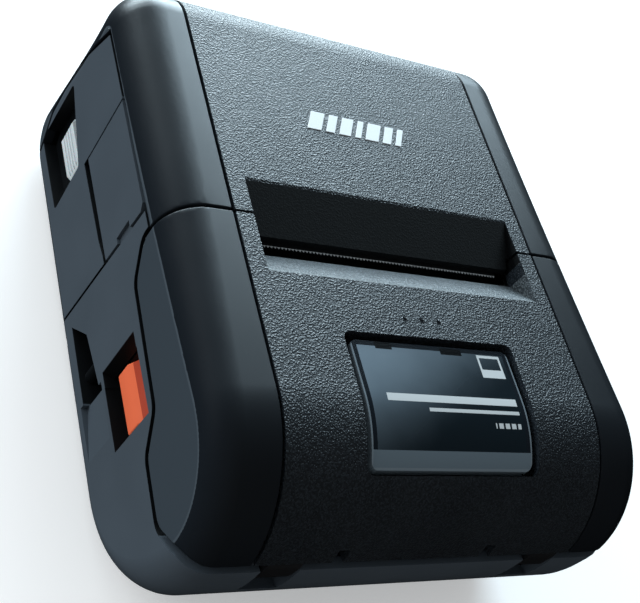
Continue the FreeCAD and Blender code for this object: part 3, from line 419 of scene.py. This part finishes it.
@finish("window_gloss")
def window_gloss():
    """Smoked gloss over the roll bay, with a painted reflection across the label card and plain printed bars
    instead of any wording.
    """
    made = Finish("smoked_gloss", coat_weight=0.6, specular_ior_level=0.7)
    card = made.bar((0, -37.3), (17.6, 10.4))
    tabs = made.bar((-11.5, -26.6), (1.9, 0.8)) + made.bar((4.5, -26.9), (2.6, 0.7))
    lower_band = made.y < -46.9 * MM
    rim = (abs(made.x) > 18.55 * MM) + (made.y < -49.6 * MM)
    haze = made.noise(9 * MM, 3)
    # Painted reflection: a gradient over the label card, lighter towards the top left.
    reflection_fade = made.ramp((made.y - 0.6 * made.x) / MM + 4 * haze, -42.0, -12.0)
    painted_reflection = made.mix(reflection_fade, (0.008, 0.014, 0.019), (0.17, 0.23, 0.28))
    base = made.mix(card, (0.009, 0.013, 0.018), painted_reflection)
    base = made.mix(lower_band, base, (0.12, 0.16, 0.19))
    base = made.mix(rim, base, (0.16, 0.2, 0.23))
    base = made.mix(tabs, base, (0.004, 0.005, 0.006))
    stripe = made.bar((1.5, -37.4), (15.5, 0.75)) + made.bar((6.0, -39.6), (11.0, 0.35))
    stamp = made.bar((13.7, -29.6), (2.9, 2.5)) * (1 - made.bar((13.7, -29.0), (2.4, 1.3)))
    dashes = made.bar((13.6, -42.2), (3.2, 0.5)) * ((made.x % (1.6 * MM)) < 1.1 * MM)
    made.feed("Base Color", made.mix(stripe + stamp + dashes, base, (0.58, 0.63, 0.65)))
    made.feed("Roughness", 0.14 + 0.06 * haze)
    made.bump(made.noise(6 * MM, 1, seed=0.2), 0.004 * MM)
    return made


def white_print():
    """Matt white ink."""
    made = Finish("white_print")
    ink = made.noise(0.3 * MM, 2)
    made.feed("Base Color", made.mix(ink, (0.6, 0.65, 0.67), (0.76, 0.8, 0.82)))
    made.feed("Roughness", 0.4 + 0.12 * ink)
    made.bump(ink, 0.01 * MM)
    return made


# ------------------------------------------------------------------ the frame's own nodes

def dress(item, material):
    """Give a piece one material all over."""
    item.data.materials.clear()
    item.data.materials.append(material)


def round_edges(item, width):
    """Break the sharp edges of a moulded shell, as its mould does."""
    weld = item.modifiers.new("join_faces", "WELD")
    weld.merge_threshold = JOIN_REACH * MM
    bevel = item.modifiers.new("broken_edges", "BEVEL")
    bevel.width = width * MM
    bevel.segments = 2
    bevel.limit_method = "ANGLE"
    bevel.angle_limit = math.radians(SHARP_ANGLE)
    bevel.use_clamp_overlap = False
    item.modifiers.new("flat_faces_stay_flat", "WEIGHTED_NORMAL")


JOIN_REACH = 0.002
SHARP_ANGLE = 40

made_finishes = {slot: make().material for slot, make in FINISHES.items()}
for part in frame["record"]["subparts"]:
    dress(nodes[part["node"]], made_finishes[part["material_slot"]])
dress(nodes["tear_bar"], tear_steel().material)

EDGES = {
    "cover_bumper_left": 0.2,
    "cover_bumper_right": 0.2,
    "upper_bumper_left": 0.3,
    "upper_bumper_right": 0.3,
    "release_lever": 0.35,
    "lock_knob": 0.15,
    "battery_shell": 0.3,
}
for node, edge_width in EDGES.items():
    round_edges(nodes[node], edge_width)


# ------------------------------------------------------------------ raised mark on the front

def add_block(name, low, high):
    """A block between two corners, in millimetres, left open in edit mode to be shaped."""
    bpy.ops.object.select_all(action="DESELECT")
    middle = [(a + b) / 2 * MM for a, b in zip(low, high)]
    bpy.ops.mesh.primitive_cube_add(size=MM, location=middle, scale=[b - a for a, b in zip(low, high)])
    bpy.ops.object.transform_apply(location=True, rotation=True, scale=True)
    block = bpy.context.object
    block.name = name
    bpy.ops.object.mode_set(mode="EDIT")
    return block


def finish_block(block, edge, material):
    """Break the edges, leave edit mode and give the block its finish. It stays with the case."""
    bpy.ops.mesh.select_all(action="SELECT")
    bpy.ops.mesh.bevel(offset=edge * MM, segments=2)
    bpy.ops.object.mode_set(mode="OBJECT")
    dress(block, material)
    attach(block, "case")


def slanted_bar(name, left, right):
    """A low raised bar on the front face, its upper edge shifted to the right."""
    bar = add_block(name, (left - MARK_SLANT / 2, MARK_LOW, MARK_FOOT),
                    (right - MARK_SLANT / 2, MARK_HIGH, MARK_TOP))
    bpy.ops.mesh.select_all(action="DESELECT")
    shape = bmesh.from_edit_mesh(bar.data)
    for face in shape.faces:
        if face.normal.y > 0.9:
            face.select_set(True)
    bmesh.update_edit_mesh(bar.data)
    bpy.ops.transform.translate(value=(MARK_SLANT * MM, 0, 0))
    finish_block(bar, 0.05, print_finish)


MARK_FOOT, MARK_TOP = 54.9, 55.15
MARK_LOW, MARK_HIGH = 24.8, 29.8
MARK_SLANT = 2.2
MARK_START, MARK_GAP = -13.2, 1.15
MARK_WIDTHS = (3.4, 2.2, 2.9, 1.5, 3.4, 2.2, 1.5)

print_finish = white_print().material
mark_left = MARK_START
for count, mark_width in enumerate(MARK_WIDTHS):
    slanted_bar("mark_bar_%d" % count, mark_left, mark_left + mark_width)
    mark_left += mark_width + MARK_GAP


# ------------------------------------------------------------------ seam liners inside the right wall

def seam_liner(name, along, height):
    """A thin black strip behind a gap, so that no light shows through the case."""
    liner = add_block(name, (LINER_IN, along[0], height[0]), (LINER_OUT, along[1], height[1]))
    finish_block(liner, 0.12, made_finishes["frame_black"])


LINER_IN, LINER_OUT = 46.6, 47
seam_liner("cover_seam_liner", (-31, -8), (33.5, 37.5))
seam_liner("bumper_seam_liner", (7, 48), (44, 47.5))


# ------------------------------------------------------------------ studio

def area_light(name, towards, distance, size, power, colour):
    """A softbox that faces the printer, out along a direction from it."""
    place = Vector(towards).normalized() * distance
    bpy.ops.object.light_add(type="AREA", location=place,
                             rotation=place.to_track_quat("Z", "Y").to_euler())
    light = bpy.context.object
    light.name = name
    light.data.shape = "RECTANGLE"
    light.data.size, light.data.size_y = size
    light.data.energy = power
    light.data.color = colour
    return light


area_light("back_softbox", (0.39, 0.80, 0.46), 0.95, (0.7, 0.45), 9.5, (0.68, 0.88, 1))
area_light("end_softbox", (0.05, 1, 0.13), 1.1, (1.2, 0.3), 20, (0.76, 0.92, 1))
side_light = area_light("side_softbox", (-1, 0.55, 0.35), 1.2, (1.0, 0.8), 13, (0.92, 0.97, 1))
side_light.visible_glossy = False

world = bpy.data.worlds.new("studio_air")
bpy.context.scene.world = world
world.use_nodes = True
air = world.node_tree.nodes["Background"]
air.inputs["Color"].default_value = (0.94, 0.98, 1, 1)
air.inputs["Strength"].default_value = 0.42
world.cycles_visibility.glossy = False

FLOOR_SIZE = 14
bpy.ops.mesh.primitive_plane_add(size=FLOOR_SIZE, location=(0, 0, 0))
floor = bpy.context.object
floor.name = "floor"
floor_finish = Finish("studio_floor", roughness=0.75, emission_color=(1, 1, 1, 1), emission_strength=0.3)
sweep = floor_finish.noise(0.4)
floor_finish.feed("Base Color", floor_finish.mix(sweep, (0.9, 0.9, 0.9), (0.93, 0.93, 0.93)))
dress(floor, floor_finish.material)
floor.visible_glossy = False
floor.visible_diffuse = False

bpy.context.scene.view_settings.view_transform = "Standard"

CAMERA_PLACE = Vector((-0.1360, -0.1211, 0.1946))
CAMERA_LOOK = Vector((0.545, 0.496, -0.676)).normalized()
CAMERA_RIGHT = Vector((0.834, -0.235, 0.5))
CAMERA_LENS, CAMERA_SENSOR = 64.11, 36

camera_up = CAMERA_RIGHT.cross(CAMERA_LOOK).normalized()
camera_axes = Matrix((CAMERA_LOOK.cross(camera_up), camera_up, -CAMERA_LOOK)).transposed()
bpy.ops.object.camera_add(location=CAMERA_PLACE, rotation=camera_axes.to_euler())
camera = bpy.context.object
camera.name = "front_view"
camera.data.lens = CAMERA_LENS
camera.data.sensor_width = CAMERA_SENSOR
camera.data.clip_start = 0.01
bpy.context.scene.camera = camera
